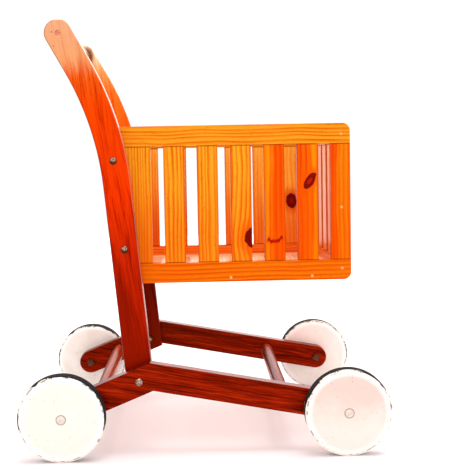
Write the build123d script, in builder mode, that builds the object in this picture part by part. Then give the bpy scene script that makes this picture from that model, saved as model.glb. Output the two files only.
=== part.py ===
from build123d import *
from math import cos, radians, sin, sqrt, tan
import os

os.makedirs("parts", exist_ok=True)

# A child's wooden shopping cart: two bent chassis rails on four wheels, two curved uprights
# with a handlebar between them, and a slatted basket bolted to the uprights.
# Millimetres. +X is the front, +Y the left side and +Z up. The origin is on the floor,
# below the middle of the wheelbase. A point in side view is written (X, Z).

# ---- Driving dimensions ------------------------------------------------------------------

# wheels
wheelbase = 361.0
wheel_diameter = 110.0
wheel_thick = 18.0
wheel_rim_round = 4.6  # the rounded rim starts this far inside the tyre
wheel_rim_drop = 2.4
wheel_rim_arc = 8.0
tyre_thick = 1.4
tyre_ease = 0.5

# chassis rails
rail_width = 34.7
rail_thick = 15.0
rail_kink_x = -67.6
rail_kink_rise = 45.8  # height of the bend above the hubs
cross_dowel_diameter = 18.0
cross_dowel_socket = 8.0
front_dowel_reach = 80.5  # from the front hub back along the rail
rear_dowel_reach = 49.0  # from the rear hub forward along the rail

# uprights and handlebar
upright_width = 35.0
upright_thick = 15.0
upright_lean = 5.4  # degrees, below the bend
upright_top_lean = 29.0  # degrees, above the bend
upright_top_straight = 46.0
upright_tip_flat = 16.5  # height of the flat tip above the handlebar's centre
upright_tip_radius = 5.0
upright_bolt_back = 17.5  # chassis bolt, measured back from the rail's bend
handlebar_height = 540.0
handlebar_diameter = 20.0
handlebar_socket = 5.0

# basket
basket_width = 205.0
basket_bottom = 216.0
basket_height = 204.5
basket_front = 195.0
basket_rear_inset = 1.0  # the side's rear edge stops this far inside the upright's
basket_corner_radius = 10.0
panel_thick = 10.0
frame_width = 26.0  # top and bottom rails, and the front stile
rear_stile_reach = 30.8  # the rear stile's front edge, ahead of the upright's centreline
slat_width = 27.0
side_slats = 5
end_slats = 5
floor_slats = 7
front_panel_setback = 12.0  # the front panel's middle, behind the sides' front end
floor_lift = 2.0
bend_below_rim = 75.5  # the uprights start to curve this far below the rim

# joinery
tenon_thick = 4.0
tenon_length = 8.0
tenon_shoulder = 4.0
mortise_spare = 0.5

# hardware
axle_diameter = 6.0
axle_head_diameter = 10.5
axle_head_height = 1.6
axle_nut_flats = 10.0
axle_nut_thick = 5.0
washer_diameter = 12.0
washer_thick = 1.6
bolt_diameter = 5.0
bolt_head_diameter = 9.6
bolt_head_height = 2.6
nut_flats = 8.0
nut_thick = 4.0
bolt_end = 1.5  # how far a bolt stands out of its nut
rim_bolt_drop = 44.0  # upper basket bolt, below the rim
floor_bolt_rise = 46.5  # lower basket bolt, above the basket's bottom
driver_slot_width = 1.1
driver_slot_depth = 0.7
bolt_slot_length = 7.7
bolt_slot_angle = -35.0
axle_slot_length = 4.2
axle_slot_angle = 0.0
nail_diameter = 1.8
nail_head_diameter = 4.0
nail_head_thick = 1.0
nail_length = 25.0
nail_inset = 14.0  # front and rear panel nails, from the rim and from the bottom
nail_bottom_inset = 15.0
nail_mid_drop = 7.0  # the middle nail, below half height
floor_nail_spacing = 106.6
floor_nail_setback = 51.4  # the first floor nail, behind the sides' front end
floor_nails = 2
floor_nail_drop = 1.5  # below the middle of the floor boards
screw_diameter = 4.0
screw_head_diameter = 7.0
screw_head_thick = 2.6
screw_length = 40.0

# clearances
running_clearance = 0.05  # axle in wheel, radial
side_clearance = 0.3  # each side of a wheel
fit_clearance = 0.05  # round pieces in their holes, radial
bolt_hole_clearance = 0.2
edge_ease = 1.0
tip_ease = 1.5

# ---- Derived sizes -----------------------------------------------------------------------

hub_height = wheel_diameter / 2
rim_radius = wheel_diameter / 2 - tyre_thick
basket_top = basket_bottom + basket_height
basket_mid = (basket_bottom + basket_top) / 2

# layers on each side of the middle plane, as distances from it
basket_outer = basket_width / 2
basket_inner = basket_outer - panel_thick
upright_inner = basket_outer
upright_outer = upright_inner + upright_thick
rail_inner = upright_outer
rail_outer = rail_inner + rail_thick
wheel_inner = rail_outer + washer_thick + side_clearance
wheel_outer = wheel_inner + wheel_thick
axle_head_seat = wheel_outer + side_clearance

nut_radius = nut_flats / sqrt(3)
axle_tip = rail_inner - axle_nut_thick - bolt_end

SIDES = (("left", 1), ("right", -1))
MID = Plane.XZ


def layer(sign, inner, outer):
    """The sketch plane at the left face of a layer; extruding by its thickness fills it."""
    return Plane.XZ.offset(-max(sign * inner, sign * outer))


def left_of(direction):
    return direction.rotate(Axis.Z, 90)


def save(builder, node):
    builder.part.label = node
    export_step(builder.part, f"parts/{node}.step")


# Side view of a chassis rail: two straight arms that meet at a mitred bend.
hub_front = Vector(wheelbase / 2, hub_height)
hub_rear = Vector(-wheelbase / 2, hub_height)
kink = Vector(rail_kink_x, hub_height + rail_kink_rise)
rear_arm = (kink - hub_rear).normalized()
front_arm = (hub_front - kink).normalized()
rear_edge = left_of(rear_arm) * (rail_width / 2)
front_edge = left_of(front_arm) * (rail_width / 2)
bisector = (rear_edge + front_edge).normalized()
mitre = bisector * ((rail_width / 2) / bisector.dot(left_of(rear_arm)))
chassis_bolt = kink - rear_arm * upright_bolt_back
front_dowel = hub_front - front_arm * front_dowel_reach
rear_dowel = hub_rear + rear_arm * rear_dowel_reach

# Side view of an upright's centreline: straight, then bent back, then straight again.
lean = radians(upright_lean)
top_lean = radians(upright_top_lean)
bend_start_z = basket_top - bend_below_rim
bend_climb = handlebar_height - bend_start_z - upright_top_straight * cos(top_lean)
bend_radius = bend_climb / (sin(top_lean) - sin(lean))


def lower_upright_x(z):
    return chassis_bolt.X - (z - chassis_bolt.Y) * tan(lean)


bend_start = Vector(lower_upright_x(bend_start_z), bend_start_z)
bend_centre = bend_start - Vector(cos(lean), sin(lean)) * bend_radius
bend_end = bend_centre + Vector(cos(top_lean), sin(top_lean)) * bend_radius
handle_centre = bend_end + Vector(-sin(top_lean), cos(top_lean)) * upright_top_straight


def upright_x(z):
    """X of the upright's centreline at a height up to the end of its bend."""
    if z <= bend_start_z:
        return lower_upright_x(z)
    return bend_centre.X + sqrt(bend_radius**2 - (z - bend_centre.Y) ** 2)


def side_rear_x(z):
    """X of the basket side's rear edge, which is parallel to the upright's lower part."""
    return lower_upright_x(z) - (upright_width / 2 - basket_rear_inset) / cos(lean)


def rear_panel_x(z, depth):
    """X in the leaning rear panel at a height, at a depth in from its rear face."""
    return side_rear_x(z) + depth / cos(lean)


def basket_bolt(z):
    """A basket bolt, on the upright's centreline or as far forward as clears the rear panel."""
    clear_x = rear_panel_x(z, panel_thick) + nut_radius + edge_ease
    return Vector(max(upright_x(z), clear_x), z)


basket_bolts_at = [
    basket_bolt(basket_top - rim_bolt_drop),
    basket_bolt(basket_bottom + floor_bolt_rise),
]

# Joint lines of the basket's sides, and the places of their slats.
low_joint = basket_bottom + frame_width
high_joint = basket_top - frame_width
front_stile_x = basket_front - frame_width / 2
rear_stile_front = lower_upright_x(basket_bottom) + rear_stile_reach
slat_run = basket_front - frame_width - rear_stile_front
slat_gap = (slat_run - side_slats * slat_width) / (side_slats + 1)
side_slat_x = [
    basket_front - frame_width - (slat_gap + slat_width) * (number + 1) + slat_width / 2
    for number in range(side_slats)
]
rear_tenon_width = rear_stile_front - side_rear_x(low_joint) - 2 * tenon_shoulder
rear_tenon_x = rear_stile_front - tenon_shoulder - rear_tenon_width / 2

# Basket floor.
floor_bottom = basket_bottom + floor_lift
floor_mid = floor_bottom + panel_thick / 2
front_panel_x = basket_front - front_panel_setback
floor_front = front_panel_x - panel_thick / 2
floor_rear = rear_panel_x(floor_bottom, panel_thick)
floor_pitch = (floor_front - floor_rear - slat_width) / (floor_slats - 1)
floor_slat_x = [
    floor_front - slat_width / 2 - number * floor_pitch
    for number in range(floor_slats)
]

# Nails: three into the end of the front panel, three into the rear one, and a row into the floor.
nail_heights = (
    basket_top - nail_inset,
    basket_mid - nail_mid_drop,
    basket_bottom + nail_bottom_inset,
)
front_nails = [(front_panel_x, z) for z in nail_heights]
rear_nails = [(rear_panel_x(z, panel_thick / 2), z) for z in nail_heights]
floor_nails_at = [
    (basket_front - floor_nail_setback - number * floor_nail_spacing, floor_mid - floor_nail_drop)
    for number in range(floor_nails)
]
all_nails = front_nails + rear_nails + floor_nails_at


# ---- Shapes used more than once ----------------------------------------------------------


def rod(sign, place, inner, outer, radius, mode=Mode.ADD):
    """A round bar along Y between two distances from the middle plane, in the current part."""
    with BuildSketch(layer(sign, inner, outer)) as section:
        with Locations(place):
            Circle(radius)
    extrude(section.sketch, amount=outer - inner, mode=mode)


def nail(sign, place, clearance=0.0, mode=Mode.ADD):
    """A flat-headed nail driven in flush with the basket side's outer face."""
    rod(sign, place, basket_outer - nail_length, basket_outer, nail_diameter / 2 + clearance, mode)
    rod(sign, place, basket_outer - nail_head_thick, basket_outer, nail_head_diameter / 2 + clearance, mode)


def nail_holes(places):
    for sign in (1, -1):
        for place in places:
            nail(sign, place, fit_clearance, Mode.SUBTRACT)


def domed_head(sign, place, seat, radius, height):
    """A domed bolt head that stands out from a seat at a distance from the middle plane."""
    dome_radius = (radius**2 + height**2) / (2 * height)
    halfway = height - dome_radius + sqrt(dome_radius**2 - radius**2 / 4)
    with BuildSketch(Plane.XY.offset(place.Y)) as profile:
        with BuildLine():
            rim = (place.X + radius, sign * seat)
            shoulder = (place.X + radius / 2, sign * (seat + halfway))
            crown = (place.X, sign * (seat + height))
            ThreePointArc(rim, shoulder, crown)
            Polyline(crown, (place.X, sign * seat), rim)
        make_face()
    revolve(profile.sketch, axis=Axis((place.X, 0, place.Y), (0, 1, 0)))


def driver_slot(sign, place, crown, length, angle):
    """A straight screwdriver slot cut into a bolt head."""
    with BuildSketch(layer(sign, crown - driver_slot_depth, crown)) as slot:
        with Locations(place):
            Rectangle(length, driver_slot_width, rotation=angle)
    extrude(slot.sketch, amount=driver_slot_depth, mode=Mode.SUBTRACT)


def hex_nut(sign, place, inner, outer, flats, hole_radius):
    with BuildSketch(layer(sign, inner, outer)) as section:
        with Locations(place):
            RegularPolygon(flats / 2, 6, major_radius=False)
            Circle(hole_radius, mode=Mode.SUBTRACT)
    extrude(section.sketch, amount=outer - inner)


def countersunk_screw(sign, clearance=0.0, mode=Mode.ADD):
    """A wood screw through the upright into the handlebar's end, its head flush with the upright."""
    head = screw_head_diameter / 2 + clearance
    shank = screw_diameter / 2 + clearance
    tip = upright_outer - screw_length - clearance
    neck = upright_outer - screw_head_thick
    outline = [(0, tip), (shank, tip), (shank, neck), (head, upright_outer), (0, upright_outer)]
    with BuildSketch(Plane.XY.offset(handle_centre.Y)) as profile:
        with BuildLine():
            Polyline([(handle_centre.X + x, sign * y) for x, y in outline], close=True)
        make_face()
    revolve(profile.sketch, axis=Axis((handle_centre.X, 0, handle_centre.Y), (0, 1, 0)), mode=mode)


def tenoned_slat(plane, centre, width, low, high):
    """A slat that stands on a panel's middle plane, eased along its length, with a tenon at each end."""
    with BuildPart() as slat:
        with BuildSketch(plane):
            with Locations((centre, (low + high) / 2)):
                Rectangle(width, high - low)
        extrude(amount=panel_thick / 2, both=True)
        fillet(slat.edges().group_by(SortBy.LENGTH)[-1], edge_ease)
        with BuildSketch(plane):
            with Locations((centre, (low + high) / 2)):
                Rectangle(width - 2 * tenon_shoulder, high - low + 2 * tenon_length)
        extrude(amount=tenon_thick / 2, both=True)
    return slat


def mortises(plane, centres, width, joint, inward):
    """Pockets for tenons, cut from a joint line in the direction inward, which is 1 or -1."""
    depth = tenon_length + mortise_spare
    with BuildSketch(plane) as pockets:
        with Locations([(centre, joint + inward * depth / 2) for centre in centres]):
            Rectangle(width - 2 * tenon_shoulder, depth)
    extrude(pockets.sketch, amount=tenon_thick / 2, both=True, mode=Mode.SUBTRACT)


def straight_rail(plane, start, end, low, high, joint, inward, centres, nail_places):
    """A rail of a panel: a straight board with a mortise for each slat along its joint edge."""
    with BuildPart() as board:
        with BuildSketch(plane):
            with Locations(((start + end) / 2, (low + high) / 2)):
                Rectangle(end - start, high - low)
        extrude(amount=panel_thick / 2, both=True)
        outer_edge = plane.from_local_coords(Vector((start + end) / 2, high if inward > 0 else low, 0))
        long_edges = board.edges().group_by(SortBy.LENGTH)[-1]
        fillet(long_edges.sort_by(lambda edge: (edge.center() - outer_edge).length)[0:2], edge_ease)
        mortises(plane, centres, slat_width, joint, inward)
        nail_holes(nail_places)
    return board


# ---- Chassis rails -----------------------------------------------------------------------

for side, sign in SIDES:
    with BuildPart() as chassis_rail:
        with BuildSketch(layer(sign, rail_inner, rail_outer)):
            with BuildLine():
                Polyline(
                    hub_rear + rear_edge, kink + mitre, hub_front + front_edge,
                    hub_front - front_edge, kink - mitre, hub_rear - rear_edge, close=True
                )
            make_face()
            with Locations(hub_rear, hub_front):
                Circle(rail_width / 2)
                Circle(axle_diameter / 2 + bolt_hole_clearance, mode=Mode.SUBTRACT)
            with Locations(chassis_bolt):
                Circle(bolt_diameter / 2 + bolt_hole_clearance, mode=Mode.SUBTRACT)
        extrude(amount=rail_thick)
        for face in (chassis_rail.faces().sort_by(Axis.Y)[0], chassis_rail.faces().sort_by(Axis.Y)[-1]):
            fillet(face.outer_wire().edges(), edge_ease)
        for place in (front_dowel, rear_dowel):
            socket_end = rail_inner + cross_dowel_socket
            socket_radius = cross_dowel_diameter / 2 + fit_clearance
            rod(sign, place, rail_inner, socket_end, socket_radius, Mode.SUBTRACT)
    save(chassis_rail, f"{side}_chassis_rail")

for name, place in (("front", front_dowel), ("rear", rear_dowel)):
    with BuildPart() as cross_dowel:
        with BuildSketch(MID):
            with Locations(place):
                Circle(cross_dowel_diameter / 2)
        extrude(amount=rail_inner + cross_dowel_socket, both=True)
        chamfer(cross_dowel.edges().filter_by(GeomType.CIRCLE), edge_ease)
    save(cross_dowel, f"{name}_cross_dowel")

# ---- Uprights and handlebar --------------------------------------------------------------

upright_foot = chassis_bolt - Vector(-sin(lean), cos(lean)) * rail_width
underside = kink - mitre
below = Vector(0, -wheelbase)

for side, sign in SIDES:
    with BuildPart() as upright:
        with BuildSketch(layer(sign, upright_inner, upright_outer)) as outline:
            with BuildLine() as centreline:
                Line(upright_foot, bend_start)
                CenterArc(bend_centre, bend_radius, upright_lean, upright_top_lean - upright_lean)
                Line(bend_end, handle_centre)
                offset(amount=upright_width / 2, mode=Mode.REPLACE)
            make_face()
            with BuildLine():
                behind = underside - rear_arm * wheelbase
                ahead = underside + rear_arm * wheelbase
                Polyline(behind, underside, ahead, ahead + below, behind + below, close=True)
            make_face(mode=Mode.SUBTRACT)
            above_centre = (Align.CENTER, Align.MIN)
            with Locations(handle_centre + Vector(0, upright_tip_flat)):
                Rectangle(upright_width * 2, upright_width, align=above_centre, mode=Mode.SUBTRACT)
            fillet(outline.vertices().group_by(Axis.Y)[-1], upright_tip_radius)
            with Locations(chassis_bolt, *basket_bolts_at):
                Circle(bolt_diameter / 2 + bolt_hole_clearance, mode=Mode.SUBTRACT)
        extrude(amount=upright_thick)
        for face in (upright.faces().sort_by(Axis.Y)[0], upright.faces().sort_by(Axis.Y)[-1]):
            fillet(face.outer_wire().edges(), tip_ease)
        socket_end = upright_inner + handlebar_socket
        socket_radius = handlebar_diameter / 2 + fit_clearance
        rod(sign, handle_centre, upright_inner, socket_end, socket_radius, Mode.SUBTRACT)
        countersunk_screw(sign, fit_clearance, Mode.SUBTRACT)
    save(upright, f"{side}_upright")

with BuildPart() as handlebar:
    with BuildSketch(MID):
        with Locations(handle_centre):
            Circle(handlebar_diameter / 2)
    extrude(amount=upright_inner + handlebar_socket, both=True)
    chamfer(handlebar.edges().filter_by(GeomType.CIRCLE), edge_ease)
    for sign in (1, -1):
        countersunk_screw(sign, fit_clearance, Mode.SUBTRACT)
save(handlebar, "handlebar")

# ---- Basket sides ------------------------------------------------------------------------

for side, sign in SIDES:
    panel = Plane.XZ.offset(-sign * (basket_inner + panel_thick / 2))

    for name, joint, edge, inward in (
        ("top", high_joint, basket_top, 1),
        ("bottom", low_joint, basket_bottom, -1),
    ):
        with BuildPart() as side_rail:
            with BuildSketch(panel) as outline:
                with BuildLine():
                    rear_end = (side_rear_x(edge), edge)
                    rear_joint = (side_rear_x(joint), joint)
                    Polyline(rear_end, rear_joint, (basket_front, joint), (basket_front, edge), close=True)
                make_face()
                corner = outline.vertices().sort_by_distance(Vector(basket_front, edge))[0]
                fillet(corner, basket_corner_radius)
            extrude(amount=panel_thick / 2, both=True)
            for face in (side_rail.faces().sort_by(Axis.Y)[0], side_rail.faces().sort_by(Axis.Y)[-1]):
                outline_edges = face.outer_wire().edges()
                free_edges = outline_edges.filter_by(lambda item: abs(item.center().Z - joint) > edge_ease)
                fillet(free_edges, edge_ease)
            mortises(panel, side_slat_x, slat_width, joint, inward)
            mortises(panel, [front_stile_x], frame_width, joint, inward)
            mortises(panel, [rear_tenon_x], rear_tenon_width + 2 * tenon_shoulder, joint, inward)
            nail_holes(all_nails)
        save(side_rail, f"basket_{side}_{name}_rail")

    front_stile = tenoned_slat(panel, front_stile_x, frame_width, low_joint, high_joint)
    with front_stile:
        nail_holes(front_nails)
    save(front_stile, f"basket_{side}_front_stile")

    with BuildPart() as rear_stile:
        with BuildSketch(panel):
            with BuildLine():
                Polyline(
                    (rear_stile_front, low_joint), (rear_stile_front, high_joint),
                    (side_rear_x(high_joint), high_joint), (side_rear_x(low_joint), low_joint), close=True
                )
            make_face()
            with Locations(*basket_bolts_at):
                Circle(bolt_diameter / 2 + bolt_hole_clearance, mode=Mode.SUBTRACT)
        extrude(amount=panel_thick / 2, both=True)
        fillet(rear_stile.edges().sort_by(SortBy.LENGTH)[-4:], edge_ease)
        with BuildSketch(panel):
            with Locations((rear_tenon_x, basket_mid)):
                Rectangle(rear_tenon_width, high_joint - low_joint + 2 * tenon_length)
            with Locations(*basket_bolts_at):
                Circle(bolt_diameter / 2 + bolt_hole_clearance, mode=Mode.SUBTRACT)
        extrude(amount=tenon_thick / 2, both=True)
        nail_holes(rear_nails)
    save(rear_stile, f"basket_{side}_rear_stile")

    for number, x in enumerate(side_slat_x, start=1):
        side_slat = tenoned_slat(panel, x, slat_width, low_joint, high_joint)
        save(side_slat, f"basket_{side}_slat_{number}")

# ---- Basket front and rear panels --------------------------------------------------------

end_pitch = (2 * basket_inner - slat_width) / (end_slats - 1)
end_slat_y = [-basket_inner + slat_width / 2 + number * end_pitch for number in range(end_slats)]
front_plane = Plane(origin=(front_panel_x, 0, basket_bottom), x_dir=(0, 1, 0), z_dir=(1, 0, 0))
rear_plane = Plane(
    origin=(rear_panel_x(basket_bottom, panel_thick / 2), 0, basket_bottom),
    x_dir=(0, 1, 0),
    z_dir=(cos(lean), 0, sin(lean)),
)
rear_height = basket_height / cos(lean)

for name, plane, height, places in (
    ("front", front_plane, basket_height, front_nails),
    ("rear", rear_plane, rear_height, rear_nails),
):
    top_joint = height - frame_width
    for level, low, joint, inward in (
        ("top", top_joint, top_joint, 1),
        ("bottom", 0, frame_width, -1),
    ):
        high = low + frame_width
        end_rail = straight_rail(
            plane, -basket_inner, basket_inner, low, high, joint, inward, end_slat_y, places
        )
        save(end_rail, f"basket_{name}_{level}_rail")

    with BuildPart() as end_slat_set:
        for y in end_slat_y:
            add(tenoned_slat(plane, y, slat_width, frame_width, top_joint).part)
        nail_holes(places)
    save(end_slat_set, f"basket_{name}_slats")

# ---- Basket floor ------------------------------------------------------------------------

floor_plane = Plane.XY.offset(floor_mid)
floor_joint = basket_inner - frame_width

for side, sign in SIDES:
    low, high = sorted((sign * floor_joint, sign * basket_inner))
    joint = sign * floor_joint
    floor_rail = straight_rail(
        floor_plane, floor_rear, floor_front, low, high, joint, sign, floor_slat_x, floor_nails_at
    )
    save(floor_rail, f"basket_floor_{side}_rail")

for number, x in enumerate(floor_slat_x, start=1):
    floor_slat = tenoned_slat(floor_plane, x, slat_width, -floor_joint, floor_joint)
    save(floor_slat, f"basket_floor_slat_{number}")

# ---- Wheels and tyres --------------------------------------------------------------------

for name, hub in (("front", hub_front), ("rear", hub_rear)):
    for side, sign in SIDES:
        spin_axis = Axis((hub.X, 0, hub.Y), (0, 1, 0))
        middle = sign * (wheel_inner + wheel_outer) / 2
        profile_plane = Plane.XY.offset(hub.Y)
        shoulder = wheel_thick / 2 - wheel_rim_drop

        with BuildPart() as wheel:
            with BuildSketch(profile_plane):
                with BuildLine():
                    bore = hub.X + axle_diameter / 2 + running_clearance
                    rim = hub.X + rim_radius
                    face = rim - wheel_rim_round
                    low_face, high_face = middle - wheel_thick / 2, middle + wheel_thick / 2
                    Polyline((face, low_face), (bore, low_face), (bore, high_face), (face, high_face))
                    RadiusArc((face, high_face), (rim, middle + shoulder), wheel_rim_arc)
                    Line((rim, middle + shoulder), (rim, middle - shoulder))
                    RadiusArc((rim, middle - shoulder), (face, low_face), wheel_rim_arc)
                make_face()
            revolve(axis=spin_axis)
        save(wheel, f"{name}_{side}_wheel")

        with BuildPart() as tyre:
            outward = (Align.MIN, Align.CENTER)
            with BuildSketch(profile_plane) as tyre_profile:
                with Locations((rim, middle)):
                    Rectangle(tyre_thick, 2 * shoulder, align=outward)
                fillet(tyre_profile.vertices().group_by(Axis.X)[-1], tyre_ease)
                with Locations((rim, middle)):
                    Rectangle(fit_clearance, 2 * shoulder, align=outward, mode=Mode.SUBTRACT)
            revolve(axis=spin_axis)
        save(tyre, f"{name}_{side}_tyre")

# ---- Fasteners ---------------------------------------------------------------------------

hubs = [(sign, hub) for sign in (1, -1) for hub in (hub_front, hub_rear)]
axle_crown = axle_head_seat + axle_head_height

with BuildPart() as wheel_bolts:
    for sign, hub in hubs:
        rod(sign, hub, axle_tip, axle_head_seat, axle_diameter / 2)
        domed_head(sign, hub, axle_head_seat, axle_head_diameter / 2, axle_head_height)
        driver_slot(sign, hub, axle_crown, axle_slot_length, axle_slot_angle)
save(wheel_bolts, "wheel_bolts")

with BuildPart() as wheel_washers:
    for sign, hub in hubs:
        washer_outer = rail_outer + washer_thick
        washer_hole = axle_diameter / 2 + bolt_hole_clearance
        rod(sign, hub, rail_outer, washer_outer, washer_diameter / 2)
        rod(sign, hub, rail_outer, washer_outer, washer_hole, Mode.SUBTRACT)
save(wheel_washers, "wheel_washers")

with BuildPart() as wheel_nuts:
    nut_hole = axle_diameter / 2 + fit_clearance
    for sign, hub in hubs:
        hex_nut(sign, hub, rail_inner - axle_nut_thick, rail_inner, axle_nut_flats, nut_hole)
save(wheel_nuts, "wheel_nuts")

with BuildPart() as chassis_bolts:
    for sign in (1, -1):
        rod(sign, chassis_bolt, upright_inner - nut_thick - bolt_end, rail_outer, bolt_diameter / 2)
        domed_head(sign, chassis_bolt, rail_outer, bolt_head_diameter / 2, bolt_head_height)
        driver_slot(sign, chassis_bolt, rail_outer + bolt_head_height, bolt_slot_length, bolt_slot_angle)
save(chassis_bolts, "chassis_bolts")

with BuildPart() as basket_bolts:
    for sign in (1, -1):
        for place in basket_bolts_at:
            rod(sign, place, basket_inner - nut_thick - bolt_end, upright_outer, bolt_diameter / 2)
            domed_head(sign, place, upright_outer, bolt_head_diameter / 2, bolt_head_height)
save(basket_bolts, "basket_bolts")

with BuildPart() as frame_nuts:
    nut_hole = bolt_diameter / 2 + fit_clearance
    for sign in (1, -1):
        hex_nut(sign, chassis_bolt, upright_inner - nut_thick, upright_inner, nut_flats, nut_hole)
        for place in basket_bolts_at:
            hex_nut(sign, place, basket_inner - nut_thick, basket_inner, nut_flats, nut_hole)
save(frame_nuts, "frame_nuts")

with BuildPart() as basket_nails:
    for sign in (1, -1):
        for place in all_nails:
            nail(sign, place)
save(basket_nails, "basket_nails")

with BuildPart() as handlebar_screws:
    for sign in (1, -1):
        countersunk_screw(sign)
save(handlebar_screws, "handlebar_screws")
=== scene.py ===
from math import cos, radians, sin

import bmesh
import bpy
from mathutils import Matrix, Vector


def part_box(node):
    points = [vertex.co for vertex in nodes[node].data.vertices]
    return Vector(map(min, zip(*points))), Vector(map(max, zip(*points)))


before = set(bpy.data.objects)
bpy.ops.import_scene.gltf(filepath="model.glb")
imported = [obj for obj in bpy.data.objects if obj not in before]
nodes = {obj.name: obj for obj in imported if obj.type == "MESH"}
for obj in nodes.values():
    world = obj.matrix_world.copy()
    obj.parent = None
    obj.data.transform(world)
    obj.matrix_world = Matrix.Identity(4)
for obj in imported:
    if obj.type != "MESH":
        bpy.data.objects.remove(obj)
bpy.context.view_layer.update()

# A child's wooden shopping cart. The CAD nodes keep their shapes and get procedural wood, paint, rubber
# and steel here. +X is the front, +Y the cart's left side, +Z up, in metres.

X_AXIS, Y_AXIS, Z_AXIS = Vector((1, 0, 0)), Vector((0, 1, 0)), Vector((0, 0, 1))
MM = 1000.0  # millimetres in a metre
ALBEDO_SHARE = 0.7  # a surface's own colour, as a share of the colour seen under this light
SIDE_SLATS, END_SLATS, FLOOR_SLATS = 5, 5, 7


def linear(red, green, blue):
    """A colour given as 8-bit sRGB, as the renderer's linear RGBA."""
    channels = []
    for value in (red, green, blue):
        share = value / 255
        channels.append(share / 12.92 if share <= 0.04045 else ((share + 0.055) / 1.055) ** 2.4)
    return (*channels, 1.0)


def seen(red, green, blue):
    """The surface colour that looks like this 8-bit sRGB colour under the studio's bright light."""
    channels = linear(red, green, blue)
    return (*(channel * ALBEDO_SHARE for channel in channels[:3]), 1.0)


# ---- Camera --------------------------------------------------------------------------------

CAMERA_AT = (-0.0055, -1.0815, 0.3772)
CAMERA_YAW, CAMERA_TILT, CAMERA_ROLL = -0.82, -2.49, -1.08  # degrees, from a level view along +Y
CAMERA_LENS = 57.27
CAMERA_SHIFT = (0.0622, -0.0961)


def make_camera():
    data = bpy.data.cameras.new("camera")
    data.lens = CAMERA_LENS
    data.sensor_width = 36
    data.shift_x, data.shift_y = CAMERA_SHIFT
    camera = bpy.data.objects.new("camera", data)
    turn = Matrix.Rotation(radians(90), 4, "X") @ Matrix.Rotation(radians(CAMERA_YAW), 4, "Y")
    turn = turn @ Matrix.Rotation(radians(CAMERA_TILT), 4, "X")
    turn = turn @ Matrix.Rotation(radians(CAMERA_ROLL), 4, "Z")
    camera.matrix_world = Matrix.Translation(CAMERA_AT) @ turn
    bpy.context.scene.collection.objects.link(camera)
    bpy.context.scene.camera = camera


make_camera()


# ---- Node tree helper ----------------------------------------------------------------------


class Shader:
    """One material's node tree, with short calls for the nodes that the materials use."""

    def __init__(self, name):
        self.material = bpy.data.materials.new(name)
        self.material.use_nodes = True
        self.tree = self.material.node_tree
        self.tree.nodes.clear()
        self.place = self.add("ShaderNodeTexCoord").outputs["Object"]

    def add(self, kind, inputs=(), **settings):
        node = self.tree.nodes.new(kind)
        for key, value in settings.items():
            setattr(node, key, value)
        for key, value in dict(inputs).items():
            self.feed(node.inputs[key], value)
        return node

    def feed(self, socket, value):
        if isinstance(value, bpy.types.NodeSocket):
            self.tree.links.new(value, socket)
        else:
            socket.default_value = value

    def math(self, operation, first, second=0.0, clamp=False):
        inputs = {0: first, 1: second}
        return self.add("ShaderNodeMath", inputs, operation=operation, use_clamp=clamp).outputs[0]

    def total(self, *values):
        result = values[0]
        for value in values[1:]:
            result = self.math("ADD", result, value)
        return result

    def times(self, first, second):
        return self.math("MULTIPLY", first, second)

    def minus(self, first, second):
        return self.math("SUBTRACT", first, second)

    def facing(self):
        """The X, Y and Z parts of the surface's normal, in the node's own axes."""
        normal = self.add("ShaderNodeTexCoord").outputs["Normal"]
        return self.add("ShaderNodeSeparateXYZ", {0: normal}).outputs

    def dot(self, direction, origin):
        """Distance along a direction from an origin, in millimetres."""
        inputs = {0: self.place, 1: origin}
        moved = self.add("ShaderNodeVectorMath", inputs, operation="SUBTRACT").outputs[0]
        inputs = {0: moved, 1: Vector(direction) * MM}
        return self.add("ShaderNodeVectorMath", inputs, operation="DOT_PRODUCT").outputs["Value"]

    def vector(self, x=0.0, y=0.0, z=0.0):
        return self.add("ShaderNodeCombineXYZ", {0: x, 1: y, 2: z}).outputs[0]

    def length(self, x=0.0, y=0.0, z=0.0):
        inputs = {0: self.vector(x, y, z)}
        return self.add("ShaderNodeVectorMath", inputs, operation="LENGTH").outputs["Value"]

    def noise(self, vector, scale=1.0, detail=2.0, roughness=0.5):
        inputs = {"Vector": vector, "Scale": scale, "Detail": detail, "Roughness": roughness}
        return self.add("ShaderNodeTexNoise", inputs).outputs[0]

    def cells(self, vector, scale=1.0):
        return self.add("ShaderNodeTexVoronoi", {"Vector": vector, "Scale": scale}).outputs["Distance"]

    def fade(self, value, low, high, start=0.0, end=1.0):
        """A smooth step from start to end as value goes from low to high."""
        inputs = {"Value": value, 1: low, 2: high, 3: start, 4: end}
        return self.add("ShaderNodeMapRange", inputs, interpolation_type="SMOOTHSTEP").outputs[0]

    def mix(self, share, first, second, blend="MIX"):
        node = self.add("ShaderNodeMix", data_type="RGBA", blend_type=blend)
        self.feed(node.inputs[0], share)
        self.feed(node.inputs[6], first)
        self.feed(node.inputs[7], second)
        return node.outputs[2]

    def ramp(self, value, stops):
        node = self.add("ShaderNodeValToRGB", {0: value})
        elements = node.color_ramp.elements
        while len(elements) < len(stops):
            elements.new(0.5)
        for element, (position, colour) in zip(elements, stops):
            element.position = position
            element.color = colour
        return node.outputs[0]

    def bump(self, height, distance, strength):
        """Relief from a height of 0 to 1 that stands for a distance in millimetres."""
        inputs = {"Height": height, "Distance": distance / MM, "Strength": strength}
        return self.add("ShaderNodeBump", inputs).outputs[0]

    def finish(self, colour, roughness, normal=None, **constants):
        shader = self.add("ShaderNodeBsdfPrincipled", {"Base Color": colour, "Roughness": roughness})
        if normal is not None:
            self.feed(shader.inputs["Normal"], normal)
        for key, value in constants.items():
            shader.inputs[key.replace("_", " ")].default_value = value
        output = self.add("ShaderNodeOutputMaterial")
        self.tree.links.new(shader.outputs[0], output.inputs["Surface"])
        return self.material


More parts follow.
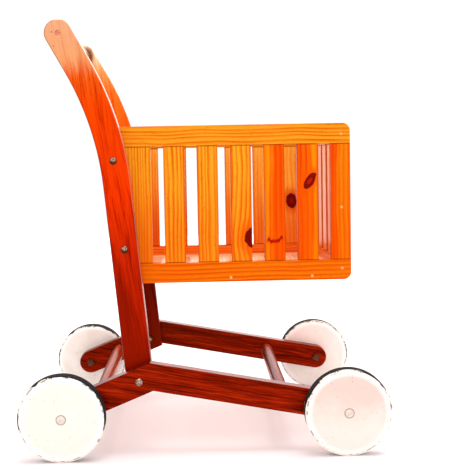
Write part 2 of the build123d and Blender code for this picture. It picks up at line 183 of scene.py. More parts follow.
def coat(node, material):
    mesh = nodes[node].data
    mesh.materials.clear()
    mesh.materials.append(material)


def centre(node):
    low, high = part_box(node)
    return (low + high) / 2


# ---- Wood ----------------------------------------------------------------------------------

# Varnish reflects its own stain when seen square on, and the room when seen at a glance.
PINE_VARNISH = {"Specular_Tint": (1.0, 0.1, 0.02, 1.0), "Specular_IOR_Level": 0.32}
RED_VARNISH = {"Specular_Tint": (0.8, 0.08, 0.01, 1.0), "Specular_IOR_Level": 0.45}
OILED = {"Specular_Tint": (0.8, 0.2, 0.1, 1.0), "Specular_IOR_Level": 0.12}
KNOT_DARK, KNOT_RED, KNOT_PALE = seen(96, 0, 6), seen(178, 8, 2), seen(226, 36, 6)
SEAM = seen(150, 44, 0)
BLUSH, DEEP_RED = seen(253, 88, 0), seen(228, 46, 0)
GOLD = seen(255, 158, 8)
# The dark colour marks screw holes and is also painted shade on rounded rear edges; the pale colour is a
# painted highlight on the near upright's front edge.
MARK_AND_SHADE_DARK, FRONT_EDGE_HIGHLIGHT = seen(92, 14, 2), seen(255, 226, 206)
CALM_TONE = (0.96, 0.94, 0.92, 1)
ROW_SEED_STEP = 53.7
BEYOND_KNOTS = 9.0  # a distance to the nearest knot that no halo reaches

# The darkness of a growth ring across its width: slowly darker, then a sharp return to pale wood.
RING_STOPS = [
    (position, (level, level, level, 1.0))
    for position, level in ((0.0, 0.0), (0.3, 0.12), (0.66, 0.75), (0.84, 1.0), (1.0, 0.0))
]


def board_space(shade, origin, along, across, pitch=None):
    """Distances along, across and through a board. With a pitch, one node holds a row of boards."""
    length = shade.dot(along, origin)
    width = shade.dot(across, origin)
    depth = shade.dot(Vector(along).cross(Vector(across)), origin)
    if pitch is None:
        return length, width, depth, 0.0
    board = shade.math("ROUND", shade.math("DIVIDE", width, pitch))
    width = shade.minus(width, shade.times(board, pitch))
    return length, width, depth, shade.times(board, ROW_SEED_STEP)


def knot_field(shade, length, width, knots):
    """Grain that flows round knots, and the distance to the nearest knot, which is 1 at its edge."""
    nearest = BEYOND_KNOTS
    for at_length, at_width, half_length, half_width, tilt in knots:
        run = shade.minus(length, at_length)
        side = shade.minus(width, at_width)
        turn = radians(tilt)
        local_run = shade.total(shade.times(run, cos(turn)), shade.times(side, sin(turn)))
        local_side = shade.minus(shade.times(side, cos(turn)), shade.times(run, sin(turn)))
        reach = shade.length(
            shade.times(local_run, 1 / half_length), shade.times(local_side, 1 / half_width)
        )
        ragged = shade.noise(shade.vector(run, side, 7.0), 0.16, 4, 0.6)
        reach = shade.total(reach, shade.times(shade.minus(ragged, 0.5), 0.5))
        nearest = shade.math("MINIMUM", nearest, reach)
        square = shade.times(reach, reach)
        squeeze = shade.math("DIVIDE", square, shade.math("ADD", square, 1.3))
        width = shade.total(shade.times(side, squeeze), at_width)
    return width, nearest


def knot_colour(shade, colour, nearest, heart):
    """Paints knots over the wood: a reddened halo, dark rings round a paler heart, and a black edge."""
    colour = shade.mix(shade.fade(nearest, 1.0, 2.3, 0.75, 0.0), colour, BLUSH)
    rings = shade.math("FRACT", shade.times(nearest, 2.2))
    inside = shade.mix(shade.fade(rings, 0.1, 0.9, 0.0, 0.4 + 0.6 * heart), KNOT_DARK, KNOT_RED)
    inside = shade.mix(shade.fade(nearest, 0.1, 0.5, 0.8 * heart, 0.0), inside, KNOT_PALE)
    inside = shade.mix(shade.fade(nearest, 0.6, 0.95), inside, KNOT_DARK)
    return shade.mix(shade.fade(nearest, 0.95, 1.12, 1.0, 0.0), colour, inside)


def crack(shade, colour, length, width, seed, at_length, half_width):
    """A ragged dark crack across the grain, with a reddened border."""
    wander = shade.noise(shade.vector(shade.times(width, 0.22), seed, 0.0), 1, 4, 0.7)
    off = shade.total(length, -at_length, shade.times(shade.minus(wander, 0.5), -22.0))
    place = shade.vector(shade.times(length, 0.3), shade.times(width, 0.3), seed)
    ragged = shade.noise(place, 1, 4, 0.7)
    off = shade.total(shade.math("ABSOLUTE", off), shade.times(shade.minus(ragged, 0.5), -5.0))
    within = shade.fade(shade.math("ABSOLUTE", width), half_width * 0.8, half_width, 1.0, 0.0)
    colour = shade.mix(shade.times(shade.fade(off, 2.5, 8.0, 0.6, 0.0), within), colour, BLUSH)
    return shade.mix(shade.times(shade.fade(off, 1.4, 3.4, 1.0, 0.0), within), colour, KNOT_RED)


def pine(node, along, across, seed, light, dark, spacing=5.2, pith=(-70.0, -24.0), wobble=4.0,
         contrast=1.0, knots=(), heart=1.0, inner=None, blush=None, gold=None, deepen=0.0,
         crack_at=None, pitch=None, half_length=None, half_width=None):
    """Orange-varnished pine: growth rings cut by the board's faces, fine fibres, flecks and knots.

    spacing is the width of a ring and pith its centre, across and through the board. inner is the
    colour pair of the faces that look into the basket, a lighter copy that is painted light on faces
    in the basket's shade; lower down it gives way to BROWN_PINE. blush and gold are (start, end, share)
    across the board. half_length and half_width darken the board's ends and edges."""
    shade = Shader(node)
    length, width, depth, row_seed = board_space(shade, centre(node), along, across, pitch)
    board_seed = shade.total(seed, row_seed)
    flow, nearest = knot_field(shade, length, width, knots)

    place = shade.vector(shade.times(length, 0.009), shade.times(flow, 0.015), board_seed)
    drift = shade.minus(shade.noise(place, 1, 2), 0.5)
    bent = shade.total(flow, shade.times(drift, 2 * wobble))
    radius = shade.length(0.0, shade.minus(bent, pith[0]), shade.minus(depth, pith[1]))
    place = shade.vector(shade.times(radius, 0.06), shade.times(length, 0.001), board_seed)
    uneven = shade.noise(place, 1, 2)
    rings = shade.total(shade.times(radius, 1 / spacing), shade.times(uneven, 2.2), seed)
    late = shade.ramp(shade.math("FRACT", rings), RING_STOPS)
    place = shade.vector(shade.times(length, 0.012), shade.times(flow, 0.1), board_seed)
    patchy = shade.noise(place, 1, 2)
    late = shade.times(late, shade.fade(patchy, 0.3, 0.7, 0.6 * contrast, 1.2 * contrast))

    place = shade.vector(shade.times(length, 0.05), shade.times(bent, 1.7), shade.times(depth, 1.7))
    fibre = shade.noise(place, 1, 3, 0.6)
    place = shade.vector(shade.times(length, 0.16), shade.times(bent, 1.1), shade.times(depth, 1.1))
    fleck = shade.noise(place, 1, 1)
    # Painted light: faces that look into the basket take the lighter inner pair, which turns browner lower
    # down.
    if inner:
        inside = shade.fade(shade.facing()[1], 0.4, 0.0)
        sunk = shade.fade(length, 30.0, -70.0, 0.0, 0.75)
        light = shade.mix(inside, light, shade.mix(sunk, inner[0], BROWN_PINE[0]))
        dark = shade.mix(inside, dark, shade.mix(sunk, inner[1], BROWN_PINE[1]))
    colour = shade.mix(late, light, dark)
    colour = shade.mix(shade.fade(fibre, 0.4, 0.8, 0.0, 0.3), colour, dark)
    colour = shade.mix(shade.fade(fleck, 0.66, 0.76, 0.0, 0.45), colour, SEAM)
    place = shade.vector(shade.times(length, 0.006), shade.times(width, 0.05), board_seed)
    tone = shade.noise(place, 1, 1)
    colour = shade.mix(shade.fade(tone, 0.45, 0.75, 0.0, 0.25), colour, BLUSH)
    ragged = shade.total(width, shade.times(drift, 16.0), shade.times(shade.minus(fibre, 0.5), 3.0))
    if blush:
        reddened = shade.mix(shade.times(late, 0.75), BLUSH, DEEP_RED)
        reddened = shade.mix(shade.fade(fibre, 0.45, 0.75, 0.0, 0.5), reddened, DEEP_RED)
        colour = shade.mix(shade.fade(ragged, blush[0], blush[1], 0.0, blush[2]), colour, reddened)
    if gold:
        colour = shade.mix(shade.fade(ragged, gold[0], gold[1], 0.0, gold[2]), colour, GOLD)
    if deepen:
        colour = shade.mix(shade.fade(length, 70.0, -60.0, 0.0, deepen), colour, BLUSH)
    if half_length:
        from_middle = shade.math("ABSOLUTE", length)
        end = shade.fade(from_middle, half_length - 2.0, half_length - 0.6, 0.0, 0.8)
        colour = shade.mix(end, colour, SEAM)
    if half_width:
        from_middle = shade.math("ABSOLUTE", width)
        border = shade.fade(from_middle, half_width - 4.0, half_width - 1.2, 0.0, 0.5)
        colour = shade.mix(border, colour, BLUSH)
        border = shade.fade(from_middle, half_width - 1.2, half_width - 0.2, 0.0, 0.45)
        colour = shade.mix(border, colour, SEAM)
    if knots:
        colour = knot_colour(shade, colour, nearest, heart)
    if crack_at:
        colour = crack(shade, colour, length, width, seed, *crack_at)

    relief = shade.total(shade.times(late, 0.6), shade.times(fibre, 0.4))
    normal = shade.bump(relief, 0.07, 0.5)
    return shade.finish(colour, shade.fade(fibre, 0.2, 0.9, 0.26, 0.42), normal, **PINE_VARNISH)


def stained(node, along, across, seed, stops, heights, grain=1.0, spots=(), blotch=None, calm=None,
            lit_front_edge=False, varnish=RED_VARNISH):
    """Hardwood under a red stain that pools in the grain and changes with height.

    heights is a list of (millimetres above the floor, tint). blotch is a (height, tint) below which a
    darker stain creeps up the front side of the board. The grain fades above the height calm. With
    lit_front_edge, the board's front edge face is painted pale high up, a painted highlight. spots is a
    list of (x and z in metres, radius in millimetres, colour) on the face that looks to the cart's right."""
    shade = Shader(node)
    length, width, depth, _ = board_space(shade, centre(node), along, across)
    place = shade.vector(shade.times(length, 0.01), shade.times(width, 0.02), seed)
    drift = shade.noise(place, 1, 2)
    bent = shade.total(width, shade.times(shade.minus(drift, 0.5), 12.0))
    place = shade.vector(shade.times(length, 0.012), shade.times(bent, 0.14), seed + 4)
    coarse = shade.noise(place, 1, 3, 0.55)
    place = shade.vector(shade.times(length, 0.022), shade.times(bent, 0.62), shade.times(depth, 0.62))
    streak = shade.noise(place, 1, 4, 0.65)
    place = shade.vector(shade.times(length, 0.1), shade.times(bent, 2.6), shade.times(depth, 2.6))
    pore = shade.noise(place, 1, 2, 0.6)
    value = shade.total(
        shade.times(coarse, 0.55), shade.times(streak, 0.7), shade.times(pore, 0.25), -0.25
    )
    streaky = shade.minus(streak, 0.5)
    patchy = shade.minus(coarse, 0.5)
    above_floor = shade.dot(Z_AXIS, Vector())
    height = shade.total(above_floor, shade.times(streaky, 30.0), shade.times(patchy, 40.0))
    strength = 1.6 * grain
    if calm:
        strength = shade.fade(height, 430.0, 130.0, 1.7 * grain, 2.7 * grain)
    value = shade.total(shade.times(shade.minus(value, 0.5), strength), 0.5)
    colour = shade.ramp(value, stops)
    if calm:
        colour = shade.mix(shade.fade(height, calm - 30.0, calm, 0.0, 0.7), colour, CALM_TONE)
    lowest, highest = heights[0][0], heights[-1][0]
    share = shade.math("DIVIDE", shade.minus(height, lowest), highest - lowest, clamp=True)
    tint = shade.ramp(share, [((z - lowest) / (highest - lowest), tone) for z, tone in heights])
    colour = shade.mix(1.0, colour, tint, "MULTIPLY")
    if blotch:
        top, tone = blotch
        front = shade.total(shade.times(width, 4.0), height, shade.times(patchy, 160.0))
        colour = shade.mix(shade.fade(front, top, top - 120.0, 0.0, 0.8), colour, tone)
    facing, facing_side, _ = shade.facing()
    # Painted shade: on every stained piece, the rounded edges that face the rear are darkened.
    rounded = shade.fade(facing, -0.97, -0.85)
    shaded_rear_edge = shade.times(shade.fade(facing, -0.15, -0.5, 0.0, 0.75), rounded)
    colour = shade.mix(shaded_rear_edge, colour, MARK_AND_SHADE_DARK)
    # Painted highlight: the front edge face is painted pale, most of all high up.
    if lit_front_edge:
        high = shade.fade(height, 380.0, 450.0, 0.25, 0.8)
        bare = shade.times(shade.fade(facing, 0.3, 0.8, 0.0, 0.8), high)
        colour = shade.mix(bare, colour, FRONT_EDGE_HIGHLIGHT)
    # Spots: screw marks, and on the left upright a patch of painted shade.
    for x, z, spot_radius, tone in spots:
        ahead = shade.dot(X_AXIS, Vector((x, 0, 0)))
        away = shade.length(ahead, 0.0, shade.dot(Z_AXIS, Vector((0, 0, z))))
        away = shade.total(away, shade.times(patchy, spot_radius))
        spot = shade.fade(away, spot_radius * 0.6, spot_radius * 1.2, 0.9, 0.0)
        spot = shade.times(spot, shade.fade(facing_side, -0.3, -0.7))
        colour = shade.mix(spot, colour, tone)
    relief = shade.total(shade.times(streak, 0.6), shade.times(pore, 0.4))
    normal = shade.bump(relief, 0.08, 0.5)
    return shade.finish(colour, shade.fade(streak, 0.3, 0.8, 0.24, 0.4), normal, **varnish)


# Pairs of colours, of the pale and of the dark part of a growth ring.
TOP_PINE = (seen(255, 172, 36), seen(234, 98, 0))
LOW_PINE = (seen(254, 130, 10), seen(236, 78, 0))
SLAT_PINE = (seen(255, 182, 40), seen(236, 100, 0))
STILE_PINE = (seen(253, 142, 14), seen(240, 84, 0))
RED_PINE = (seen(254, 114, 6), seen(240, 60, 0))
# FAR_LIT_PINE and END_LIT_PINE are made with linear() and so lighter, painted light on faces that lie in the
# basket's shade.
FAR_LIT_PINE = (linear(255, 204, 84), linear(252, 158, 30))
PALE_PINE = (linear(255, 214, 170), linear(248, 166, 110))
BROWN_PINE = (linear(250, 140, 50), linear(222, 92, 16))
END_LIT_PINE = (linear(255, 190, 112), linear(246, 122, 48))

SLAT_LOW, SLAT_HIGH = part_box("basket_right_bottom_rail")[1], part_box("basket_right_top_rail")[0]
SLAT_REAR, SLAT_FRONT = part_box("basket_right_slat_3")
SLAT_HALF = (SLAT_HIGH.z - SLAT_LOW.z) * MM / 2
SLAT_HALF_WIDTH = (SLAT_FRONT.x - SLAT_REAR.x) * MM / 2
SLAT_LOOK = {"half_length": SLAT_HALF, "half_width": SLAT_HALF_WIDTH, "deepen": 0.3}

# The near side's slats, counted from the front: colours, and what differs from a plain slat.
NEAR_SLATS = {
    1: (RED_PINE, {
        "knots": [(27.5, 2.8, 12.0, 5.4, 33.0)], "heart": 0.7, "gold": (4.0, 9.0, 0.8),
        "blush": (-2.0, -10.0, 0.8), "spacing": 6.0,
    }),
    2: (STILE_PINE, {
        "blush": (-7.0, 1.0, 0.9), "gold": (-5.0, -9.0, 0.6), "crack_at": (-48.5, 11.5), "spacing": 6.0,
        "pith": (-34.0, -30.0),
    }),
    3: (SLAT_PINE, {
        "knots": [(-45.0, 16.5, 14.0, 12.5, 8.0)], "heart": 0.0, "spacing": 5.6, "pith": (-52.0, -30.0),
    }),
    4: (SLAT_PINE, {"spacing": 5.0, "pith": (74.0, -26.0)}),
    5: (SLAT_PINE, {"spacing": 5.4, "pith": (-66.0, -20.0)}),
}
FAR_SLATS = {
    1: (SLAT_PINE, {
        "knots": [(-9.0, 3.0, 11.5, 7.8, -8.0)], "heart": 0.3, "inner": FAR_LIT_PINE, "spacing": 7.0,
    }),
}


def paint_basket_side(side, sign):
    far = side == "left"
    for level, colours, seed in (("top", TOP_PINE, 11.3), ("bottom", LOW_PINE, 23.9)):
        node = f"basket_{side}_{level}_rail"
        pith = (-80.0, -sign * 26.0)
        inner = BROWN_PINE if far and level == "bottom" else None
        coat(node, pine(node, X_AXIS, Z_AXIS, seed + sign, *colours, 5.2, pith, 5.0, inner=inner))
    for number in range(1, SIDE_SLATS + 1):
        node = f"basket_{side}_slat_{number}"
        default = (SLAT_PINE, {"inner": FAR_LIT_PINE} if far else {})
        colours, extra = (FAR_SLATS if far else NEAR_SLATS).get(number, default)
        look = {**SLAT_LOOK, **extra}
        coat(node, pine(node, Z_AXIS, X_AXIS, 31.7 * number + sign, *colours, **look))
    node = f"basket_{side}_front_stile"
    look = {**SLAT_LOOK, "blush": (-2.0, -9.0, 0.95), "spacing": 5.0, "pith": (60.0, -20.0)}
    coat(node, pine(node, Z_AXIS, X_AXIS, 5.1 + sign, *STILE_PINE, **look))
    node = f"basket_{side}_rear_stile"
    look = {"half_length": SLAT_HALF, "deepen": 0.62}
    look.update(spacing=4.1, pith=(-88.0, -20.0), wobble=2.5)
    if far:
        look["inner"] = FAR_LIT_PINE
    coat(node, pine(node, Z_AXIS, X_AXIS, 8.4 + sign, *SLAT_PINE, **look))


def paint_basket():
    for side, sign in (("left", 1), ("right", -1)):
        paint_basket_side(side, sign)
        node = f"basket_floor_{side}_rail"
        coat(node, pine(node, X_AXIS, Y_AXIS, 41.0 + len(side), *PALE_PINE))
    for end in ("front", "rear"):
        for level in ("top", "bottom"):
            node = f"basket_{end}_{level}_rail"
            colours = BROWN_PINE if level == "bottom" else END_LIT_PINE
            coat(node, pine(node, Y_AXIS, Z_AXIS, len(node) * 1.7, *colours))
        node = f"basket_{end}_slats"
        low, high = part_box(node)
        slat_width = 2 * SLAT_HALF_WIDTH
        pitch = ((high.y - low.y) * MM - slat_width) / (END_SLATS - 1)
        look = {"pitch": pitch, "half_length": SLAT_HALF, "half_width": SLAT_HALF_WIDTH}
        coat(node, pine(node, Z_AXIS, Y_AXIS, 71.0 + len(node), *END_LIT_PINE, **look))
    for number in range(1, FLOOR_SLATS + 1):
        node = f"basket_floor_slat_{number}"
        coat(node, pine(node, Y_AXIS, X_AXIS, 13.0 * number, *PALE_PINE))


# Stains: value stops from the darkest grain to the lightest, and tints by height above the floor.
RAIL_STOPS = [
    (0.2, seen(60, 4, 0)), (0.42, seen(116, 12, 0)), (0.6, seen(160, 26, 2)), (0.82, seen(192, 50, 8)),
]
EVEN = [(0.0, (1, 1, 1, 1)), (200.0, (1, 1, 1, 1))]
# Painted shade: the left chassis rail darkens above 75 mm, where the basket shades it.
FAR_RAIL_SHADE = [(0.0, (1.0, 1.0, 1.0, 1)), (75.0, (0.9, 1.0, 1.0, 1)), (130.0, (0.5, 0.8, 0.8, 1))]
UPRIGHT_STOPS = [
    (0.15, (0.4, 0.14, 0.1, 1)), (0.38, (0.76, 0.56, 0.5, 1)),
    (0.54, (0.96, 0.92, 0.9, 1)), (0.8, (1, 1.05, 1, 1)),
]
UPRIGHT_TINT = [
    (60.0, seen(172, 24, 0)), (200.0, seen(186, 26, 0)), (270.0, seen(212, 38, 2)),
    (330.0, seen(248, 54, 0)), (450.0, seen(255, 74, 0)), (484.0, seen(255, 100, 20)),
    (508.0, seen(255, 176, 118)), (560.0, seen(255, 188, 144)),
]
# The left upright's tint: darker than the right upright's low down, painted shade where the basket shades
# it, and made with linear() higher up, so lighter, painted light.
FAR_UPRIGHT_LIGHT_AND_SHADE = [
    (60.0, seen(122, 22, 4)), (200.0, seen(112, 14, 2)), (330.0, linear(210, 52, 4)),
    (420.0, linear(250, 92, 10)), (480.0, linear(252, 116, 30)), (515.0, linear(252, 160, 90)),
    (545.0, linear(255, 232, 190)),
]
FRONT_DOWEL_STOPS = [(0.25, seen(110, 36, 20)), (0.5, seen(170, 64, 42)), (0.8, seen(206, 96, 76))]
REAR_DOWEL_STOPS = [(0.25, seen(140, 40, 12)), (0.5, seen(204, 68, 26)), (0.8, seen(240, 112, 64))]
BAR_STOPS = [(0.25, seen(120, 56, 30)), (0.5, seen(186, 110, 70)), (0.8, seen(222, 160, 112))]


UPRIGHT_GRAIN_LEAN = radians(8)
RAIL_GRAIN_DROP = radians(10.5)
CALM_HEIGHT = 505.0  # millimetres; the uprights' grain fades above it
SCREW_MARKS = [(-0.1853, 0.541, 0.9, MARK_AND_SHADE_DARK), (-0.1835, 0.5231, 0.8, MARK_AND_SHADE_DARK)]
# Painted shade: a dark patch on the left upright's inner face, just below the handlebar, standing in for the
# handlebar's shaded underside.
HANDLEBAR_SHADE_PATCH = [(-0.1776, 0.5396, 16.0, seen(112, 48, 22))]


def paint_frame():
    along = Vector((-sin(UPRIGHT_GRAIN_LEAN), 0, cos(UPRIGHT_GRAIN_LEAN)))
    across = Vector((cos(UPRIGHT_GRAIN_LEAN), 0, sin(UPRIGHT_GRAIN_LEAN)))
    node = "right_upright"
    # Screw marks, a dark stain low down, and a painted highlight on the front edge.
    near_look = {"spots": SCREW_MARKS, "blotch": (330.0, seen(138, 12, 0)), "lit_front_edge": True}
    coat(node, stained(node, along, across, 3.0, UPRIGHT_STOPS, UPRIGHT_TINT, calm=CALM_HEIGHT, **near_look))
    node = "left_upright"
    far_look = {"spots": HANDLEBAR_SHADE_PATCH, "calm": CALM_HEIGHT}
    coat(node, stained(node, along, across, 8.0, UPRIGHT_STOPS, FAR_UPRIGHT_LIGHT_AND_SHADE, **far_look))

    along = Vector((cos(RAIL_GRAIN_DROP), 0, -sin(RAIL_GRAIN_DROP)))
    across = Vector((sin(RAIL_GRAIN_DROP), 0, cos(RAIL_GRAIN_DROP)))
    for node, seed, tint in (("right_chassis_rail", 17.0, EVEN), ("left_chassis_rail", 29.0, FAR_RAIL_SHADE)):
        coat(node, stained(node, along, across, seed, RAIL_STOPS, tint, 1.05))

    for node, seed, stops, varnish in (
        ("front_cross_dowel", 37.0, FRONT_DOWEL_STOPS, OILED),
        ("rear_cross_dowel", 43.0, REAR_DOWEL_STOPS, OILED),
        ("handlebar", 51.0, BAR_STOPS, RED_VARNISH),
    ):
        coat(node, stained(node, Y_AXIS, X_AXIS, seed, stops, EVEN, 0.8, varnish=varnish))


# ---- Wheels, tyres and hardware ------------------------------------------------------------

# Distances from a wheel's axis, in millimetres, between which each effect comes or goes.
RIM_HIGHLIGHT, RIM_WEAR = (44.0, 51.0), (51.6, 53.4)
CHIPS_FROM = (14.0, 26.0)
BOLT_RING_FROM, BOLT_RING_TO = (5.2, 5.7), (6.0, 6.8)
# RIM_HIGHLIGHT_WHITE is a painted highlight for the rounded rim; AGED_WHITE is yellowed paint.
RIM_HIGHLIGHT_WHITE, AGED_WHITE = linear(250, 248, 246), linear(230, 226, 214)


def wheel_paint(name, hub, seed, shade_share, white, shade_pink):
    """White gloss paint over wood: yellowed in clouds, a pink painted shade in clouds towards the top, a
    painted highlight on the rim, pinhole chips, and a darker ring round the bolt.
    """
    shade = Shader(name)
    x, y, z = (shade.dot(axis, hub) for axis in (X_AXIS, Y_AXIS, Z_AXIS))
    away = shade.length(x, 0.0, z)

    def seeded(scale, side_scale):
        up = shade.total(shade.times(z, scale), seed)
        return shade.vector(shade.times(x, scale), shade.times(y, side_scale), up)

    cloud = shade.noise(seeded(0.022, 0.02), 1, 3, 0.6)
    grime_and_shade = shade.noise(seeded(0.13, 0.1), 1, 5, 0.65)
    face = shade.mix(shade.fade(cloud, 0.35, 0.65), white, AGED_WHITE)
    upper = shade.total(shade.times(z, 0.012), cloud)
    # Painted shade: the face turns pink towards its top, in clouds.
    face = shade.mix(shade.fade(upper, 0.2, 0.9, 0.3 * shade_share, shade_share), face, shade_pink)
    # Painted highlight: the rounded rim is painted whiter.
    face = shade.mix(shade.fade(away, *RIM_HIGHLIGHT, 0.0, 0.6), face, RIM_HIGHLIGHT_WHITE)
    colour = shade.mix(shade.fade(grime_and_shade, 0.56, 0.8, 0.0, 0.35), face, seen(232, 196, 176))
    speck = shade.cells(seeded(0.17, 0.17), 1)
    patch = shade.noise(shade.vector(shade.times(x, 0.04), seed, shade.times(z, 0.04)), 1, 1)
    chips = shade.times(shade.fade(speck, 0.07, 0.15, 1.0, 0.0), shade.fade(patch, 0.52, 0.6))
    chips = shade.times(chips, shade.fade(away, *CHIPS_FROM))
    rim_wear = shade.times(shade.fade(away, *RIM_WEAR), shade.fade(grime_and_shade, 0.5, 0.58))
    # A darker ring round the bolt head, where the head meets the face.
    ring = shade.times(shade.fade(away, *BOLT_RING_FROM), shade.fade(away, *BOLT_RING_TO, 1.0, 0.0))
    colour = shade.mix(shade.times(ring, 0.85), colour, seen(138, 104, 92))
    colour = shade.mix(shade.times(chips, 0.75), colour, seen(150, 118, 104))
    colour = shade.mix(shade.times(rim_wear, 0.9), colour, seen(60, 52, 50))
    brush = shade.noise(shade.vector(shade.times(x, 0.5), shade.times(y, 0.5), shade.times(z, 0.1)), 1, 3)
    relief = shade.total(shade.times(brush, 0.2), shade.times(cloud, 0.4), shade.times(chips, -0.6))
    normal = shade.bump(relief, 0.12, 0.6)
    return shade.finish(colour, shade.fade(grime_and_shade, 0.3, 0.8, 0.3, 0.5), normal, Specular_IOR_Level=0.3)


def tyre_rubber(name, hub, half_width, seed):
    """Matt black rubber, scuffed, with the wheel's white paint slopped over its edges in places."""
    shade = Shader(name)
    x, y, z = (shade.dot(axis, hub) for axis in (X_AXIS, Y_AXIS, Z_AXIS))
    coarse = shade.noise(shade.vector(shade.times(x, 0.035), seed, shade.times(z, 0.035)), 1, 3)
    place = shade.vector(shade.times(x, 0.5), shade.times(y, 0.5), shade.times(z, 0.5))
    fine = shade.noise(place, 1, 4, 0.7)
    edge = shade.minus(half_width, shade.math("ABSOLUTE", y))
    low_side = shade.fade(z, 10.0, -45.0, 0.0, 1.6)
    slop = shade.total(
        edge, shade.times(shade.minus(0.58, coarse), 8.0), shade.times(shade.minus(0.5, fine), 2.5)
    )
    slop = shade.minus(slop, low_side)
    paint = shade.fade(slop, 0.2, 0.6, 1.0, 0.0)
    dust = shade.fade(fine, 0.45, 0.75, 0.0, 0.5)
    colour = shade.mix(dust, linear(20, 18, 20), linear(62, 56, 56))
    colour = shade.mix(paint, colour, linear(240, 226, 212))
    normal = shade.bump(fine, 0.5, 0.8)
    return shade.finish(colour, shade.fade(paint, 0.0, 1.0, 0.85, 0.4), normal, Specular_IOR_Level=0.2)


# How much pink painted shade each wheel's face takes, strongest towards its top.
WHEEL_PINK_SHADE = {"front_left": 0.8, "front_right": 1.0, "rear_left": 0.15, "rear_right": 0.08}


def paint_wheels():
    for number, (name, shade_share) in enumerate(WHEEL_PINK_SHADE.items(), start=1):
        wheel, tyre = f"{name}_wheel", f"{name}_tyre"
        low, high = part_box(tyre)
        hub = (low + high) / 2
        # Painted light: the left wheels, whose inner faces lie in shade, get a lighter white and pink than
        # the right wheels.
        clean, shade_pink = linear(226, 224, 218), linear(227, 192, 182)
        if name.endswith("left"):
            clean, shade_pink = linear(244, 242, 236), linear(250, 226, 220)
        coat(wheel, wheel_paint(wheel, hub, 9.7 * number, shade_share, clean, shade_pink))
        half_width = (high.y - low.y) * MM / 2
        coat(tyre, tyre_rubber(tyre, hub, half_width, 9.7 * number))


def metal(name, clean, tarnished, scale, roughness, relief, metallic=1.0, grime_and_shade=None):
    """Mottled metal. grime_and_shade is a dark colour painted on the under side and round the edge of each
    head, as painted shade.
    """
    shade = Shader(name)
    inputs = {0: shade.place, 1: (scale, scale, scale)}
    vector = shade.add("ShaderNodeVectorMath", inputs, operation="MULTIPLY").outputs[0]
    spots = shade.noise(vector, 1, 5, 0.65)
    colour = shade.mix(shade.fade(spots, 0.35, 0.65), clean, tarnished)
    if grime_and_shade:
        # Painted shade: darker where the head faces down and round its edge.
        facing = shade.facing()
        colour = shade.mix(shade.fade(facing[2], 0.3, -0.2, 0.0, 0.9), colour, grime_and_shade)
        sideways = shade.math("ABSOLUTE", facing[1])
        colour = shade.mix(shade.fade(sideways, 0.85, 0.6, 0.0, 0.7), colour, grime_and_shade)
    gloss = shade.fade(spots, 0.3, 0.7, roughness, roughness + 0.25)
    return shade.finish(colour, gloss, shade.bump(spots, relief, 0.6), Metallic=metallic)


PAINT_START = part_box("wheel_bolts")[1].y * MM - 6.0  # millimetres from the cart's middle


def wheel_bolt_paint(name):
    """White paint on the outer heads, bare brown steel on the shanks and their inner ends."""
    shade = Shader(name)
    outward = shade.math("ABSOLUTE", shade.dot(Y_AXIS, Vector()))
    painted = shade.fade(outward, PAINT_START, PAINT_START + 1.0)
    spots = shade.noise(shade.place, 260.0, 5, 0.65)
    mottle = shade.fade(spots, 0.35, 0.65)
    white = shade.mix(mottle, seen(255, 248, 240), seen(246, 222, 204))
    bare = shade.mix(mottle, seen(120, 66, 40), seen(74, 30, 14))
    colour = shade.mix(painted, bare, white)
    return shade.finish(colour, 0.4, shade.bump(spots, 0.1, 0.6), Specular_IOR_Level=0.3)


def paint_hardware():
    # The dark colour for the painted shade on the domed bolt heads.
    grime_and_shade = linear(46, 22, 12)
    steel = metal("dull_steel", linear(196, 170, 150), linear(110, 74, 54), 420.0, 0.28, 0.08)
    domed = metal("domed_steel", linear(206, 172, 146), linear(112, 72, 48), 420.0, 0.22, 0.08, grime_and_shade=grime_and_shade)
    coat("basket_bolts", domed)
    coat("chassis_bolts", steel)
    brown = metal("brown_steel", linear(120, 78, 56), linear(62, 32, 18), 420.0, 0.4, 0.08)
    for node in ("frame_nuts", "wheel_nuts", "wheel_washers"):
        coat(node, brown)
    nail = metal("nail_heads", seen(255, 190, 96), seen(240, 140, 40), 900.0, 0.35, 0.05, 0.0)
    coat("basket_nails", nail)
    screw = metal("screw_heads", seen(244, 150, 110), seen(206, 96, 66), 500.0, 0.4, 0.06, 0.0)
    coat("handlebar_screws", screw)
    coat("wheel_bolts", wheel_bolt_paint("painted_bolts"))


paint_basket()
paint_frame()
paint_wheels()
paint_hardware()


# ---- Floor and light -----------------------------------------------------------------------

FLOOR_RADIUS = 9.0
FLOOR_FADE = (500.0, 1300.0)  # millimetres from the middle, where the tint gives way to white
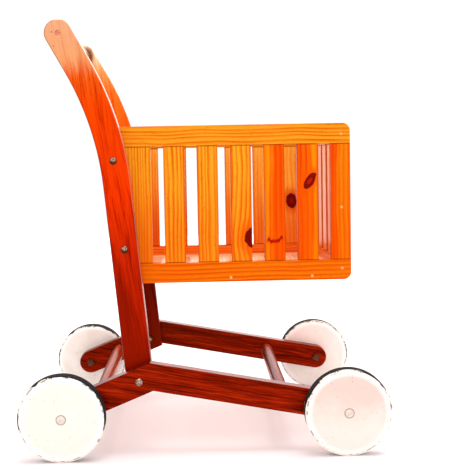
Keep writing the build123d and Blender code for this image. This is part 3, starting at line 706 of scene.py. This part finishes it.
# Painted light: near the cart the floor is tinted pink, standing in for warm light bounced into its shadows;
# where lit it still burns out to white.
FLOOR_BOUNCE_TINTS = (0.95, 0.88, 0.89, 1), (0.97, 0.91, 0.92, 1)
FLOOR_WHITE = (0.99, 0.99, 0.99, 1)
WORLD_COLOUR, WORLD_STRENGTH = (1.0, 0.985, 0.98, 1), 1.05

# Name, place and target in metres, diameter in metres, watts, colour.
LAMPS = (
    ("front", (0.15, -2.6, 0.75), (0, 0, 0.3), 0.8, 12, (1.0, 0.98, 0.96)),
    ("top", (0.3, 0.1, 2.4), (0, 0, 0.2), 1.6, 34, (1.0, 0.99, 0.98)),
    ("back", (0.0, 2.4, 0.9), (0, 0, 0.3), 2.0, 14, (1.0, 0.99, 0.98)),
)


def make_floor():
    mesh = bpy.data.meshes.new("floor")
    shape = bmesh.new()
    bmesh.ops.create_circle(shape, cap_ends=True, segments=96, radius=FLOOR_RADIUS)
    shape.to_mesh(mesh)
    shape.free()
    floor = bpy.data.objects.new("floor", mesh)
    bpy.context.scene.collection.objects.link(floor)
    shade = Shader("floor")
    cloud = shade.noise(shade.place, 1.4, 3)
    colour = shade.mix(cloud, *FLOOR_BOUNCE_TINTS)
    away = shade.length(shade.dot(X_AXIS, Vector()), shade.dot(Y_AXIS, Vector()))
    colour = shade.mix(shade.fade(away, *FLOOR_FADE), colour, FLOOR_WHITE)
    mesh.materials.append(shade.finish(colour, 0.8, Specular_IOR_Level=0.1))


def area_light(name, place, target, size, watts, colour):
    data = bpy.data.lights.new(name, "AREA")
    data.shape = "DISK"
    data.size = size
    data.energy = watts
    data.color = colour
    light = bpy.data.objects.new(name, data)
    aim = (Vector(target) - Vector(place)).to_track_quat("-Z", "Y")
    light.matrix_world = Matrix.Translation(place) @ aim.to_matrix().to_4x4()
    light.visible_camera = False
    bpy.context.scene.collection.objects.link(light)


def make_light():
    world = bpy.data.worlds.new("studio")
    bpy.context.scene.world = world
    world.use_nodes = True
    background = world.node_tree.nodes["Background"]
    background.inputs["Color"].default_value = WORLD_COLOUR
    background.inputs["Strength"].default_value = WORLD_STRENGTH
    for lamp in LAMPS:
        area_light(*lamp)
    bpy.context.scene.view_settings.view_transform = "Standard"


make_floor()
make_light()
